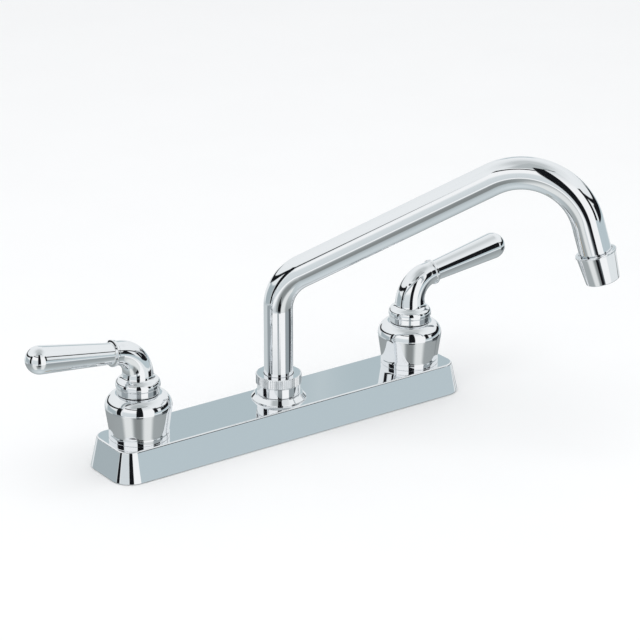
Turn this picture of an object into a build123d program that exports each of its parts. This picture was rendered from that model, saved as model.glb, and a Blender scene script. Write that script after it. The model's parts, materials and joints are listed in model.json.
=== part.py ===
"""Two handle kitchen faucet with a swinging high-rise spout.

Millimetres. The origin is on the deck, midway between the two supply shanks. +X runs to the right
handle, -Y to the person at the sink and +Z up. The handles are shut and the spout is swung to the
right, as the faucet is shown.
"""

from build123d import *
from math import atan, degrees
import os

# ---- deck plate -------------------------------------------------------------------------------
hub_spacing = 203.2  # between the two supply shanks: the eight inch centre
base_end = 26.9  # from a shank's axis to that end of the plate
base_width = 47.5
base_height = 19.0
base_forward = 1.2  # the plate reaches this much further to the front than to the back
base_inset = 4.2  # how far each side leans in from the deck to the top
base_corner_r = 13.2
base_edge_r = 1.1
base_wall = 2.2
rib_thickness = 2.0
rib_bottom = 6.0
rib_slot_gap = 1.0  # round the crossover tube
rib_offsets = (32.0, 62.0)  # from the centre, both ways
gasket_thickness = 2.0
gasket_margin = 1.0  # between the gasket's edge and the plate's wall

# ---- valve bodies -----------------------------------------------------------------------------
shank_r = 10.6  # plain neck that passes through the deck
shank_thread_r = 10.3
deck_thickness = 12.0  # the deck that the locknuts are shown clamping
shank_length = 56.0
inlet_stretch = 24.0  # free thread at the foot of the shank for the supply nut
relief_width = 1.5
relief_depth = 0.7
inlet_r = 6.0
valve_flange_r = 18.5
valve_flange_thickness = 3.0
drum_r = 15.5
barrel_r = 13.0
barrel_height = 6.0  # above the plate
crown_r = 12.0
crown_height = 12.0  # above the plate
chamber_r = 10.0
seat_z = 6.0
port_z = 10.5
port_r = 3.6
crossover_r = 4.5
crossover_wall = 0.9
socket_depth = 3.5
washer_r = 22.0
washer_thickness = 1.5
locknut_r = 15.0
locknut_height = 10.5
wing_reach = 25.0
wing_thickness = 5.0

# ---- cartridges -------------------------------------------------------------------------------
seal_thickness = 2.0
disc_r = 7.4
disc_thickness = 2.5
window_inner_r = 1.8
window_outer_r = 5.8
window_angle = 76.0  # degrees
half_turn = 180.0  # degrees from one window to the other
lug_width = 2.4
lug_depth = 1.3
drive_thickness = 2.2
skirt_window_height = 3.4
skirt_window_width = 6.0
cartridge_flange_r = 11.4
cartridge_flange_thickness = 1.3
cartridge_neck_r = 7.4
cartridge_neck_height = 18.5  # above the plate
stem_r = 4.8
stem_groove_height = 5.0  # above the plate
stem_groove_width = 1.9
stem_groove_depth = 1.5
stem_height = 39.5  # above the plate
broach_r = 4.0
broach_flat = 3.2
bonnet_across_flats = 28.0
bonnet_height = 7.5  # from the plate to its underside
bonnet_lip = 1.6

# ---- hubs -------------------------------------------------------------------------------------
hub_foot_r = 18.35
hub_foot_height = 3.0
hub_waist_r = 18.1
hub_waist_height = 3.6  # above the plate
hub_belly_r = 20.2
hub_belly_height = 18.5  # above the plate
hub_crown_r = 13.7
hub_height = 27.9
hub_hole_r = 9.0
hub_wall = 2.2

# ---- levers -----------------------------------------------------------------------------------
lever_gap = 0.3  # between the hub's crown and the lever's foot
lever_foot_r = 13.0
lever_foot_height = 3.8
lever_lip_r = 13.5
lever_lip_height = 2.0
lever_edge = 0.6
elbow_height = 40.5  # above the plate
elbow_bend_r = 16.0
elbow_neck_r = 9.4
elbow_end_r = 7.4
lever_rise = 8.7  # degrees that the grip climbs outward
upright_angle = 90.0  # degrees, of a line that stands upright
bead_at = 3.5  # along the grip's axis from the elbow's end
bead_r = 8.1
bead_width = 2.0
grip_start_r = 6.3
grip_end_r = 8.5
grip_length = 49.5  # from the bead to the middle of the domed end
boss_r = 7.6
boss_height = 20.5  # from the plate to its underside
screw_r = 2.5
screw_length = 6.0
screw_height = 36.5  # above the plate
screw_hex = 2.5
screw_hex_depth = 1.8

# ---- spout ------------------------------------------------------------------------------------
spout_turn = -45.0  # degrees from +X, as shown
riser_r = 9.0
spout_r = 9.9
spout_wall = 1.1
riser_height = 59.0  # above the plate
first_bend_r = 28.4
run_rise = 29.6  # degrees
run_length = 132.1
arch_bend_r = 39.7
outlet_drop = 74.0  # degrees that the outlet points below the level
outlet_length = 18.8
post_drum_r = 14.5
post_r = 12.4
post_bore_r = 10.0
post_floor = 7.0
post_height = 12.0  # above the plate
spigot_depth = 15.5  # how far the spigot reaches into the post
spigot_flange_r = 12.2
spigot_flange_thickness = 1.6
tube_seat_height = 5.0  # above the plate
spout_groove_heights = (2.8, 5.9)  # above the spigot's foot
spout_groove_width = 1.9
spout_groove_depth = 1.3
glide_thickness = 0.9
collar_foot_r = 17.1
collar_top_r = 14.9
collar_foot_height = 0.6
collar_height = 3.3
nut_gap = 0.1  # between the collar and the nut
nut_skirt_r = 13.4
nut_skirt_height = 6.3
nut_r = 14.2
nut_height = 12.7
nut_chamfer = 0.4
nut_step = 0.3
knurl_count = 72
knurl_depth = 0.45

# ---- aerator ----------------------------------------------------------------------------------
adapter_r = 10.5
adapter_length = 6.0
adapter_start = 0.4  # below the aerator's rim
aerator_rim_r = 12.6
aerator_rim_height = 1.1
aerator_top_r = 12.0
aerator_end_r = 10.3
aerator_length = 18.8
aerator_wall = 1.0
aerator_lip = 1.6
aerator_mouth_r = 8.3
aerator_washer_thickness = 2.0
aerator_washer_bore_r = 6.5
aerator_ledge = 0.9  # the step that the washer is pressed against
aerator_edge = 0.8
insert_grid_pitch = 2.6
insert_grid_hole = 1.7
insert_plate = 1.6

# ---- fits -------------------------------------------------------------------------------------
loose = 0.3  # between pieces that don't bear on each other
snug = 0.1  # screwed or pushed together
running = 0.05  # a turning fit
soldered = 0.02
deck_clearance = 2.2  # between the gasket and a shank

# ---- levels above the deck --------------------------------------------------------------------
barrel_top = base_height + barrel_height
crown_top = base_height + crown_height
cartridge_neck_top = base_height + cartridge_neck_height
stem_groove_z = base_height + stem_groove_height
stem_top = base_height + stem_height
bonnet_bottom = base_height + bonnet_height
hub_waist_z = base_height + hub_waist_height
hub_belly_z = base_height + hub_belly_height
hub_top = base_height + hub_height
elbow_z = base_height + elbow_height
boss_bottom = base_height + boss_height
screw_z = base_height + screw_height
riser_top = base_height + riser_height
post_top = base_height + post_height
spigot_bottom = post_top - spigot_depth
tube_seat_z = base_height + tube_seat_height
spout_groove_levels = [spigot_bottom + height for height in spout_groove_heights]
nut_bottom = base_height + collar_height + nut_gap
nut_knurl_bottom = nut_bottom + nut_skirt_height
nut_top = nut_bottom + nut_height

base_length = hub_spacing + 2 * base_end
hub_places = {"left": -hub_spacing / 2, "right": hub_spacing / 2}
draft = degrees(atan(base_inset / base_height))
cover_plane = Plane(origin=(0, -base_forward, 0))
cover_ceiling = base_height - base_wall


def vertical_axis(x):
    """The upright axis that the pieces at x are turned about."""
    return Axis((x, 0, 0), (0, 0, 1))


def upright(x, turn=0.0):
    """Drawing plane through that axis: its X runs outward at turn degrees and its Y is height."""
    outward = Vector(1, 0, 0).rotate(Axis.Z, turn)
    return Plane(origin=(x, 0, 0), x_dir=outward, z_dir=outward.cross(Vector(0, 0, 1)))


def lathe(x, outline, mode=Mode.ADD):
    """Turn a closed outline of (radius, height) corners about the upright axis at x."""
    with BuildSketch(upright(x)) as profile:
        with BuildLine():
            Polyline(*outline, close=True)
        make_face()
    revolve(profile.sketch, axis=vertical_axis(x), mode=mode)


def ring(x, inner_r, outer_r, bottom, height, mode=Mode.ADD):
    """A flat ring on the axis at x."""
    with BuildSketch(Plane((x, 0, bottom))) as profile:
        Circle(outer_r)
        if inner_r:
            Circle(inner_r, mode=Mode.SUBTRACT)
    extrude(profile.sketch, amount=height, mode=mode)


def o_ring(x, inner_r, outer_r, level):
    """A rubber ring that fills its groove, its round section drawn with eight sides."""
    with BuildSketch(upright(x)) as profile:
        with Locations(((inner_r + outer_r) / 2, level)):
            RegularPolygon((outer_r - inner_r) / 2, 8, major_radius=False, rotation=180 / 8)
    revolve(profile.sketch, axis=vertical_axis(x))


def save(name, builder):
    """Label a finished piece and write it."""
    builder.part.label = name
    export_step(builder.part, f"parts/{name}.step")


os.makedirs("parts", exist_ok=True)

# ================================================================================================
# Deck plate: a die-cast shell with leaning walls, ribs under its roof and three holes
# ================================================================================================
valve_hole_r = barrel_r + loose
post_hole_r = post_r + loose
with BuildPart() as base_cover:
    with BuildSketch(cover_plane):
        RectangleRounded(base_length, base_width, base_corner_r)
    extrude(amount=base_height, taper=draft)
    fillet(faces().sort_by(Axis.Z)[-1].edges(), base_edge_r)
    with BuildSketch(cover_plane):
        inner_length, inner_width = base_length - 2 * base_wall, base_width - 2 * base_wall
        RectangleRounded(inner_length, inner_width, base_corner_r - base_wall)
    extrude(amount=cover_ceiling, taper=draft, mode=Mode.SUBTRACT)

    lean = base_inset / base_height
    rib_slot_r = crossover_r + rib_slot_gap
    rib_foot = base_width / 2 - base_wall / 2 - lean * rib_bottom
    rib_head = base_width / 2 - base_wall / 2 - lean * cover_ceiling
    for rib_x in [side * offset for side in (-1, 1) for offset in rib_offsets]:
        with BuildSketch(Plane(origin=(rib_x, -base_forward, 0), x_dir=(0, 1, 0), z_dir=(1, 0, 0))):
            with BuildLine():
                Polyline(
                    (-rib_foot, rib_bottom),
                    (rib_foot, rib_bottom),
                    (rib_head, cover_ceiling),
                    (-rib_head, cover_ceiling),
                    close=True,
                )
            make_face()
            with Locations((base_forward, port_z - rib_slot_r)):
                SlotOverall(4 * rib_slot_r, 2 * rib_slot_r, rotation=90, mode=Mode.SUBTRACT)
        extrude(amount=rib_thickness / 2, both=True)

    with BuildSketch(Plane.XY):
        with Locations(*[(x, 0) for x in hub_places.values()]):
            Circle(valve_hole_r)
        Circle(post_hole_r)
    extrude(amount=base_height + 1, mode=Mode.SUBTRACT)
save("base_cover", base_cover)

gasket_inset = base_wall + gasket_margin
shank_hole_r = shank_r + deck_clearance
with BuildPart() as base_gasket:
    with BuildSketch(cover_plane):
        RectangleRounded(
            base_length - 2 * gasket_inset, base_width - 2 * gasket_inset, base_corner_r - gasket_inset
        )
        with Locations(*[(x, base_forward) for x in hub_places.values()]):
            Circle(shank_hole_r, mode=Mode.SUBTRACT)
    extrude(amount=gasket_thickness)
save("base_gasket", base_gasket)

# ================================================================================================
# Valve bodies, their plumbing and the nuts below the deck
# ================================================================================================
inlet_top = inlet_stretch - shank_length
flange_top = gasket_thickness + valve_flange_thickness


def side_port(x, heading, outer_r):
    """Drill the outlet and its tube socket into a drum, heading +1 or -1 along X."""
    face = Plane(origin=(x, 0, port_z), x_dir=(0, 1, 0), z_dir=(heading, 0, 0))
    with BuildSketch(face) as port:
        Circle(port_r)
    extrude(port.sketch, amount=outer_r, mode=Mode.SUBTRACT)
    with BuildSketch(face.offset(outer_r - socket_depth)) as socket:
        Circle(crossover_r + snug)
    extrude(socket.sketch, amount=socket_depth + 1, mode=Mode.SUBTRACT)


with BuildPart() as spout_post:
    lathe(
        0,
        [
            (0, gasket_thickness),
            (post_drum_r, gasket_thickness),
            (post_drum_r, cover_ceiling),
            (post_r, cover_ceiling),
            (post_r, post_top),
            (post_bore_r, post_top),
            (post_bore_r, post_floor),
            (0, post_floor),
        ],
    )
    for heading in (-1, 1):
        side_port(0, heading, post_drum_r)
save("spout_post", spout_post)

for side, x in hub_places.items():
    inward = -1 if x > 0 else 1
    with BuildPart() as valve_body:
        lathe(
            x,
            [
                (inlet_r, -shank_length),
                (shank_thread_r, -shank_length),
                (shank_thread_r, inlet_top),
                (shank_thread_r - relief_depth, inlet_top),
                (shank_thread_r - relief_depth, inlet_top + relief_width),
                (shank_thread_r, inlet_top + relief_width),
                (shank_thread_r, -deck_thickness),
                (shank_r, -deck_thickness),
                (shank_r, gasket_thickness),
                (valve_flange_r, gasket_thickness),
                (valve_flange_r, flange_top),
                (drum_r, flange_top),
                (drum_r, cover_ceiling),
                (barrel_r, cover_ceiling),
                (barrel_r, barrel_top),
                (crown_r, barrel_top),
                (crown_r, crown_top),
                (chamber_r, crown_top),
                (chamber_r, seat_z),
                (inlet_r, seat_z),
            ],
        )
        side_port(x, inward, drum_r)
    save(f"valve_body_{side}", valve_body)

    tube_start = x + inward * (drum_r - socket_depth + snug)
    tube_end = -inward * (post_drum_r - socket_depth + snug)
    with BuildPart() as crossover_tube:
        with BuildSketch(Plane(origin=(tube_start, 0, port_z), x_dir=(0, 1, 0), z_dir=(inward, 0, 0))):
            Circle(crossover_r)
            Circle(crossover_r - crossover_wall, mode=Mode.SUBTRACT)
        extrude(amount=abs(tube_end - tube_start))
    save(f"crossover_tube_{side}", crossover_tube)

    washer_bottom = -deck_thickness - washer_thickness
    with BuildPart() as mounting_washer:
        ring(x, shank_thread_r + loose, washer_r, washer_bottom, washer_thickness)
    save(f"mounting_washer_{side}", mounting_washer)

    locknut_bottom = washer_bottom - locknut_height
    with BuildPart() as locknut:
        ring(x, 0, locknut_r, locknut_bottom, locknut_height)
        with BuildSketch(Plane((x, 0, locknut_bottom))):
            SlotOverall(2 * wing_reach, wing_thickness)
        extrude(amount=locknut_height)
        ring(x, 0, shank_thread_r + snug, locknut_bottom - 1, locknut_height + 2, Mode.SUBTRACT)
    save(f"locknut_{side}", locknut)

# ================================================================================================
# Quarter-turn cartridges: two ceramic discs, a stem and its seal under a bonnet nut
# ================================================================================================
fixed_disc_z = seat_z + seal_thickness
turning_disc_z = fixed_disc_z + disc_thickness
drive_z = turning_disc_z + disc_thickness
skirt_ceiling = drive_z + drive_thickness + loose
stem_bore_r = stem_r + running
skirt_inner_r = disc_r + loose
skirt_outer_r = chamber_r - loose
cartridge_flange_top = crown_top + cartridge_flange_thickness


def ceramic_disc(x, bottom, first_window):
    """A ceramic disc with two quarter windows, the first at first_window degrees."""
    with BuildSketch(Plane((x, 0, bottom))) as disc:
        Circle(disc_r)
        for middle in (first_window, first_window + half_turn):
            with BuildLine():
                outer = CenterArc((0, 0), window_outer_r, middle - window_angle / 2, window_angle)
                inner = CenterArc((0, 0), window_inner_r, middle - window_angle / 2, window_angle)
                Line(outer @ 0, inner @ 0)
                Line(outer @ 1, inner @ 1)
            make_face(mode=Mode.SUBTRACT)
    extrude(disc.sketch, amount=disc_thickness)


def drive_lugs(x, bottom, height, gap, mode):
    """The two lugs that turn the upper disc, or with a gap the notches that they drop into."""
    with BuildSketch(Plane((x, 0, bottom))) as lugs:
        with PolarLocations(disc_r - lug_depth / 2, 2, start_angle=90):
            Rectangle(lug_depth + 2 * gap, lug_width + 2 * gap)
        Circle(disc_r, mode=Mode.INTERSECT)
    extrude(lugs.sketch, amount=height, mode=mode)


for side, x in hub_places.items():
    with BuildPart() as inlet_seal:
        ring(x, inlet_r, chamber_r - loose, seat_z, seal_thickness)
    save(f"inlet_seal_{side}", inlet_seal)

    with BuildPart() as fixed_disc:
        ceramic_disc(x, fixed_disc_z, 90)
    save(f"fixed_disc_{side}", fixed_disc)

    with BuildPart() as turning_disc:
        ceramic_disc(x, turning_disc_z, 0)
        drive_lugs(x, turning_disc_z + disc_thickness - lug_depth, lug_depth, snug, Mode.SUBTRACT)
    save(f"turning_disc_{side}", turning_disc)

    with BuildPart() as cartridge_body:
        lathe(
            x,
            [
                (skirt_inner_r, fixed_disc_z),
                (skirt_outer_r, fixed_disc_z),
                (skirt_outer_r, crown_top),
                (cartridge_flange_r, crown_top),
                (cartridge_flange_r, cartridge_flange_top),
                (cartridge_neck_r, cartridge_flange_top),
                (cartridge_neck_r, cartridge_neck_top),
                (stem_bore_r, cartridge_neck_top),
                (stem_bore_r, skirt_ceiling),
                (skirt_inner_r, skirt_ceiling),
            ],
        )
        window_centre = (x, 0, turning_disc_z + disc_thickness / 2)
        with BuildSketch(Plane(origin=window_centre, x_dir=(0, 1, 0), z_dir=(1, 0, 0))):
            Rectangle(skirt_window_width, skirt_window_height)
        extrude(amount=chamber_r, both=True, mode=Mode.SUBTRACT)
    save(f"cartridge_body_{side}", cartridge_body)

    groove_bottom_r = stem_r - stem_groove_depth
    with BuildPart() as valve_stem:
        lathe(
            x,
            [
                (0, drive_z),
                (disc_r, drive_z),
                (disc_r, drive_z + drive_thickness),
                (stem_r, drive_z + drive_thickness),
                (stem_r, stem_groove_z - stem_groove_width / 2),
                (groove_bottom_r, stem_groove_z - stem_groove_width / 2),
                (groove_bottom_r, stem_groove_z + stem_groove_width / 2),
                (stem_r, stem_groove_z + stem_groove_width / 2),
                (stem_r, cartridge_neck_top),
                (broach_r, cartridge_neck_top + 1),
                (broach_r, stem_top),
                (0, stem_top),
            ],
        )
        drive_lugs(x, drive_z - lug_depth + snug, lug_depth, 0, Mode.ADD)
        with BuildSketch(Plane((x, broach_flat + broach_r, cartridge_neck_top + 1))):
            Rectangle(2 * broach_r, 2 * broach_r)
        extrude(amount=stem_top, mode=Mode.SUBTRACT)
    save(f"valve_stem_{side}", valve_stem)

    with BuildPart() as stem_o_ring:
        o_ring(x, groove_bottom_r + soldered, stem_r, stem_groove_z)
    save(f"stem_o_ring_{side}", stem_o_ring)

    bonnet_top = cartridge_flange_top + loose + bonnet_lip
    with BuildPart() as bonnet_nut:
        with BuildSketch(Plane((x, 0, bonnet_bottom))):
            RegularPolygon(bonnet_across_flats / 2, 6, major_radius=False)
        extrude(amount=bonnet_top - bonnet_bottom)
        chamfer(faces().sort_by(Axis.Z)[-1].edges(), 0.8)
        ring(x, 0, crown_r + snug, bonnet_bottom, bonnet_top - bonnet_lip - bonnet_bottom, Mode.SUBTRACT)
        ring(x, 0, cartridge_neck_r + loose, bonnet_bottom, bonnet_top, Mode.SUBTRACT)
    save(f"bonnet_nut_{side}", bonnet_nut)

# ================================================================================================
# Bell-shaped hubs, each screwed down on its valve body
# ================================================================================================
for side, x in hub_places.items():
    with BuildPart() as hub:
        with BuildSketch(upright(x)):
            with BuildLine():
                sole = Line((barrel_r + snug, base_height), (hub_foot_r, base_height))
                foot = Line(sole @ 1, (hub_foot_r, base_height + hub_foot_height))
                flare = Line(foot @ 1, (hub_waist_r, hub_waist_z))
                flank = Line(flare @ 1, (hub_belly_r, hub_belly_z))
                shoulder = TangentArc(flank @ 1, (hub_crown_r, hub_top), tangent=flank % 1)
                crown = Line(shoulder @ 1, (hub_hole_r, hub_top))
                lip = Line(crown @ 1, (hub_hole_r, hub_top - hub_wall))
                roof = Line(lip @ 1, (hub_crown_r - hub_wall, hub_top - hub_wall))
                cavity_r = hub_waist_r - hub_wall + 1
                haunch = Line(roof @ 1, (cavity_r, hub_belly_z))
                wall = Line(haunch @ 1, (cavity_r, barrel_top + 1))
                step = Line(wall @ 1, (barrel_r + snug, barrel_top + loose))
                Line(step @ 1, sole @ 0)
            make_face()
        revolve(axis=vertical_axis(x))
    save(f"hub_{side}", hub)

# ================================================================================================
# Lever handles: a lipped foot, a neck that bends over at the elbow, a bead and a club-shaped grip
# ================================================================================================
lever_bottom = hub_top + lever_gap
for side, x in hub_places.items():
    lever_plane = upright(x, half_turn if x < 0 else 0)
    with BuildLine(lever_plane) as lever_route:
        neck_line = Line((0, lever_bottom), (0, elbow_z))
        bend = lever_rise - upright_angle
        elbow = JernArc(start=neck_line @ 1, tangent=neck_line % 1, radius=elbow_bend_r, arc_size=bend)
    grip_direction = elbow % 1
    bead_centre = elbow @ 1 + grip_direction * bead_at
    grip_plane = Plane(origin=bead_centre, x_dir=grip_direction, z_dir=lever_plane.z_dir)

    with BuildPart() as handle_lever:
        # a tapering elbow through circles along its arc
        for step in range(5):
            share = step / 4
            with BuildSketch(Plane(elbow @ share, x_dir=lever_plane.z_dir, z_dir=elbow % share)):
                Circle(elbow_neck_r + (elbow_end_r - elbow_neck_r) * share)
        loft()
        with BuildSketch(lever_plane):
            with BuildLine():
                lip_bottom = lever_bottom + lever_foot_height
                lip_top = lip_bottom + lever_lip_height
                foot = Polyline(
                    (0, boss_bottom),
                    (boss_r, boss_bottom),
                    (boss_r, lever_bottom),
                    (lever_foot_r - lever_edge, lever_bottom),
                    (lever_foot_r, lever_bottom + lever_edge),
                    (lever_foot_r, lip_bottom),
                    (lever_lip_r, lip_bottom + lever_edge),
                    (lever_lip_r, lip_top),
                )
                # two equal arcs flare the neck out to the lip, and meet half-way
                flare_middle = ((lever_lip_r + elbow_neck_r) / 2, (lip_top + elbow_z) / 2)
                lip = TangentArc(foot @ 1, flare_middle, tangent=(0, 1))
                neck = TangentArc(lip @ 1, (elbow_neck_r, elbow_z), tangent=lip % 1)
                Polyline(neck @ 1, (0, elbow_z), foot @ 0)
            make_face()
        revolve(axis=vertical_axis(x))
        with BuildSketch(grip_plane):
            with BuildLine():
                sleeve = Line((-bead_at, elbow_end_r), (-bead_width / 2, elbow_end_r))
                bead = ThreePointArc(sleeve @ 1, (0, bead_r), (bead_width / 2, elbow_end_r))
                cove = Line(bead @ 1, (bead_width, grip_start_r))
                flank = Line(cove @ 1, (grip_length, grip_end_r))
                dome = CenterArc((grip_length, 0), grip_end_r, 90, -90)
                Polyline(dome @ 1, (-bead_at, 0), sleeve @ 0)
            make_face()
        revolve(axis=Axis(bead_centre, grip_direction))
        # the socket for the broached stem, and the tapped hole of its screw
        with BuildSketch(Plane((x, 0, boss_bottom))):
            Circle(broach_r + snug)
            with Locations((0, broach_flat + snug + broach_r)):
                Rectangle(2 * broach_r + 1, 2 * broach_r, mode=Mode.SUBTRACT)
        extrude(amount=stem_top + loose - boss_bottom, mode=Mode.SUBTRACT)
        with BuildSketch(Plane(origin=(x, 0, screw_z), x_dir=(1, 0, 0), z_dir=(0, 1, 0))):
            Circle(screw_r + snug)
        extrude(amount=lever_lip_r, mode=Mode.SUBTRACT)
    save(f"handle_lever_{side}", handle_lever)

    with BuildPart() as handle_screw:
        screw_start = (x, broach_flat + snug / 2, screw_z)
        screw_face = Plane(origin=screw_start, x_dir=(1, 0, 0), z_dir=(0, 1, 0))
        with BuildSketch(screw_face):
            Circle(screw_r)
        extrude(amount=screw_length)
        with BuildSketch(screw_face.offset(screw_length)):
            RegularPolygon(screw_hex / 2, 6, major_radius=False)
        extrude(amount=-screw_hex_depth, mode=Mode.SUBTRACT)
    save(f"handle_screw_{side}", handle_screw)

# ================================================================================================
# Spout: a bent tube soldered into a spigot that turns in the post under a knurled nut
# ================================================================================================
spout_plane = upright(0, spout_turn)
with BuildLine(spout_plane) as spout_route:
    riser = Line((0, tube_seat_z), (0, riser_top))
    bend = run_rise - upright_angle
    first_bend = JernArc(start=riser @ 1, tangent=riser % 1, radius=first_bend_r, arc_size=bend)
    run = PolarLine(start=first_bend @ 1, length=run_length, direction=first_bend % 1)
    arch = JernArc(
        start=run @ 1, tangent=run % 1, radius=arch_bend_r, arc_size=-run_rise - outlet_drop
    )
    outlet = PolarLine(
        start=arch @ 1, length=outlet_length + adapter_length, direction=arch % 1
    )
flow = outlet % 1


def bent_rod(lower_r, upper_r, mode=Mode.ADD):
    """A round rod along the spout's route, which grows from lower_r to upper_r round the first bend."""
    with BuildSketch(Plane((0, 0, tube_seat_z))) as foot:
        Circle(lower_r)
    extrude(foot.sketch, amount=riser_top - tube_seat_z, mode=mode)
    sections = []
    for step in range(6):
        share = step / 5
        across_bend = Plane(first_bend @ share, x_dir=spout_plane.z_dir, z_dir=first_bend % share)
        with BuildSketch(across_bend) as section:
            Circle(lower_r + (upper_r - lower_r) * share)
        sections.append(section.sketch)
    loft(sections, mode=mode)
    sweep(sections[-1], path=Wire([run.edge(), arch.edge(), outlet.edge()]), mode=mode)


with BuildPart() as spout_tube:
    bent_rod(riser_r, spout_r)
    bent_rod(riser_r - spout_wall, spout_r - spout_wall, Mode.SUBTRACT)
save("spout_tube", spout_tube)

spigot_r = post_bore_r - running
groove_r = spigot_r - spout_groove_depth
with BuildPart() as spout_spigot:
    spigot_bore_r = riser_r - spout_wall
    lathe(
        0,
        [
            (spigot_bore_r - loose, spigot_bottom),
            (spigot_r, spigot_bottom),
            (spigot_r, post_top + snug),
            (spigot_flange_r, post_top + snug),
            (spigot_flange_r, post_top + snug + spigot_flange_thickness),
            (riser_r + soldered, post_top + snug + spigot_flange_thickness),
            (riser_r + soldered, tube_seat_z),
            (spigot_bore_r - loose, tube_seat_z),
        ],
    )
    for level in spout_groove_levels:
        ring(0, groove_r, spigot_r + 1, level - spout_groove_width / 2, spout_groove_width, Mode.SUBTRACT)
save("spout_spigot", spout_spigot)

with BuildPart() as spout_o_rings:
    for level in spout_groove_levels:
        o_ring(0, groove_r + soldered, spigot_r, level)
save("spout_o_rings", spout_o_rings)

glide_bottom = post_top + snug + spigot_flange_thickness + running
with BuildPart() as glide_ring:
    ring(0, riser_r + loose, spigot_flange_r, glide_bottom, glide_thickness)
save("glide_ring", glide_ring)

with BuildPart() as spout_collar:
    lathe(
        0,
        [
            (post_hole_r, base_height),
            (collar_foot_r, base_height),
            (collar_foot_r, base_height + collar_foot_height),
            (collar_top_r, base_height + collar_height),
            (post_hole_r, base_height + collar_height),
        ],
    )
save("spout_collar", spout_collar)

nut_ceiling = glide_bottom + glide_thickness + running
with BuildPart() as spout_nut:
    lathe(
        0,
        [
            (post_r + snug, nut_bottom),
            (nut_skirt_r, nut_bottom),
            (nut_skirt_r, nut_knurl_bottom),
            (nut_r, nut_knurl_bottom + nut_step),
            (nut_r, nut_top - nut_chamfer),
            (nut_r - nut_chamfer, nut_top),
            (riser_r + loose, nut_top),
            (riser_r + loose, nut_ceiling),
            (post_r + snug, nut_ceiling),
        ],
    )
    with BuildSketch(Plane((0, 0, nut_knurl_bottom))):
        with PolarLocations(nut_r, knurl_count):
            RegularPolygon(knurl_depth, 3, rotation=180)
    extrude(amount=nut_top - nut_knurl_bottom, mode=Mode.SUBTRACT)
save("spout_nut", spout_nut)

# ================================================================================================
# Aerator on the outlet
# ================================================================================================
across = flow.cross(spout_plane.z_dir)
rim_centre = outlet @ 0 + flow * outlet_length
outlet_axis = Axis(rim_centre, flow)
aerator_plane = Plane(origin=rim_centre, x_dir=across, z_dir=across.cross(flow))


def lathe_outlet(outline, mode=Mode.ADD):
    """Turn an outline of (radius, distance past the rim) corners about the outlet's axis."""
    with BuildSketch(aerator_plane) as profile:
        with BuildLine():
            Polyline(*outline, close=True)
        make_face()
    revolve(profile.sketch, axis=outlet_axis, mode=mode)


washer_start = adapter_length + loose
insert_start = washer_start + aerator_washer_thickness + snug
insert_end = aerator_length - aerator_lip - snug
insert_r = aerator_end_r - aerator_wall - snug
washer_r_at_outlet = adapter_r - aerator_ledge

with BuildPart() as outlet_adapter:
    lathe_outlet(
        [
            (spout_r + soldered, adapter_start),
            (adapter_r, adapter_start),
            (adapter_r, adapter_length),
            (spout_r + soldered, adapter_length),
        ]
    )
save("outlet_adapter", outlet_adapter)

with BuildPart() as aerator_housing:
    with BuildSketch(aerator_plane):
        with BuildLine():
            Polyline(
                (washer_r_at_outlet + snug, washer_start),
                (adapter_r + snug, washer_start),
                (adapter_r + snug, 0),
                (aerator_top_r, 0),
                (aerator_rim_r, aerator_rim_height / 2),
                (aerator_top_r, aerator_rim_height),
                (aerator_end_r, aerator_length - aerator_edge),
                (aerator_end_r - aerator_edge, aerator_length),
                (aerator_mouth_r, aerator_length),
                (aerator_mouth_r, aerator_length - aerator_lip),
                (insert_r + snug, aerator_length - aerator_lip),
                (insert_r + snug, insert_start),
                (washer_r_at_outlet + snug, insert_start),
                close=True,
            )
        make_face()
    revolve(axis=outlet_axis)
save("aerator_housing", aerator_housing)

with BuildPart() as aerator_washer:
    lathe_outlet(
        [
            (aerator_washer_bore_r, washer_start),
            (washer_r_at_outlet, washer_start),
            (washer_r_at_outlet, washer_start + aerator_washer_thickness),
            (aerator_washer_bore_r, washer_start + aerator_washer_thickness),
        ]
    )
save("aerator_washer", aerator_washer)

with BuildPart() as aerator_insert:
    insert_top_plane = Plane(origin=rim_centre + flow * insert_start, x_dir=across, z_dir=flow)
    with BuildSketch(insert_top_plane):
        Circle(insert_r)
        Circle(insert_r - aerator_wall, mode=Mode.SUBTRACT)
    extrude(amount=insert_end - insert_start)
    with BuildSketch(insert_top_plane.offset(insert_end - insert_start - insert_plate)):
        Circle(insert_r)
        with GridLocations(insert_grid_pitch, insert_grid_pitch, 5, 5):
            Rectangle(insert_grid_hole, insert_grid_hole, mode=Mode.SUBTRACT)
    extrude(amount=insert_plate)
save("aerator_insert", aerator_insert)

mouth_centre = rim_centre + flow * aerator_length
print("spout reach", round((mouth_centre.X**2 + mouth_centre.Y**2) ** 0.5, 1))
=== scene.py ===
"""Dresses the packed kitchen faucet for its studio picture.

The packed model is the frame: millimetres of the part's source become metres here, the origin is on
the deck between the two shanks, +X runs to the right handle and -Y to the person at the sink.
"""

import json
import math

import bpy
import numpy as np
from mathutils import Matrix, Vector
from mathutils.geometry import tessellate_polygon


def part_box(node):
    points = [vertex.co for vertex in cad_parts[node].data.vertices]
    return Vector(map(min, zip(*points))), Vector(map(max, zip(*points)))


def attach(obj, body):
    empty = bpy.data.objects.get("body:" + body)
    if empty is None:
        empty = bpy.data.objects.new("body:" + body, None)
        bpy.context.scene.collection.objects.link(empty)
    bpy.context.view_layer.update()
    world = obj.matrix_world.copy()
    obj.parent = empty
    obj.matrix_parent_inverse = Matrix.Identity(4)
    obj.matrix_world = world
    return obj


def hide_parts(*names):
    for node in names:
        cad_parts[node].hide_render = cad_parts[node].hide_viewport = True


bl_info = {
    "name": "Kitchen faucet",
    "version": (1, 0, 0),
    "blender": (4, 5, 0),
    "location": "View3D > Sidebar > Faucet",
    "description": "Builds the polished skins, finishes and studio of a two handle kitchen faucet",
    "category": "Object",
}

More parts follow.
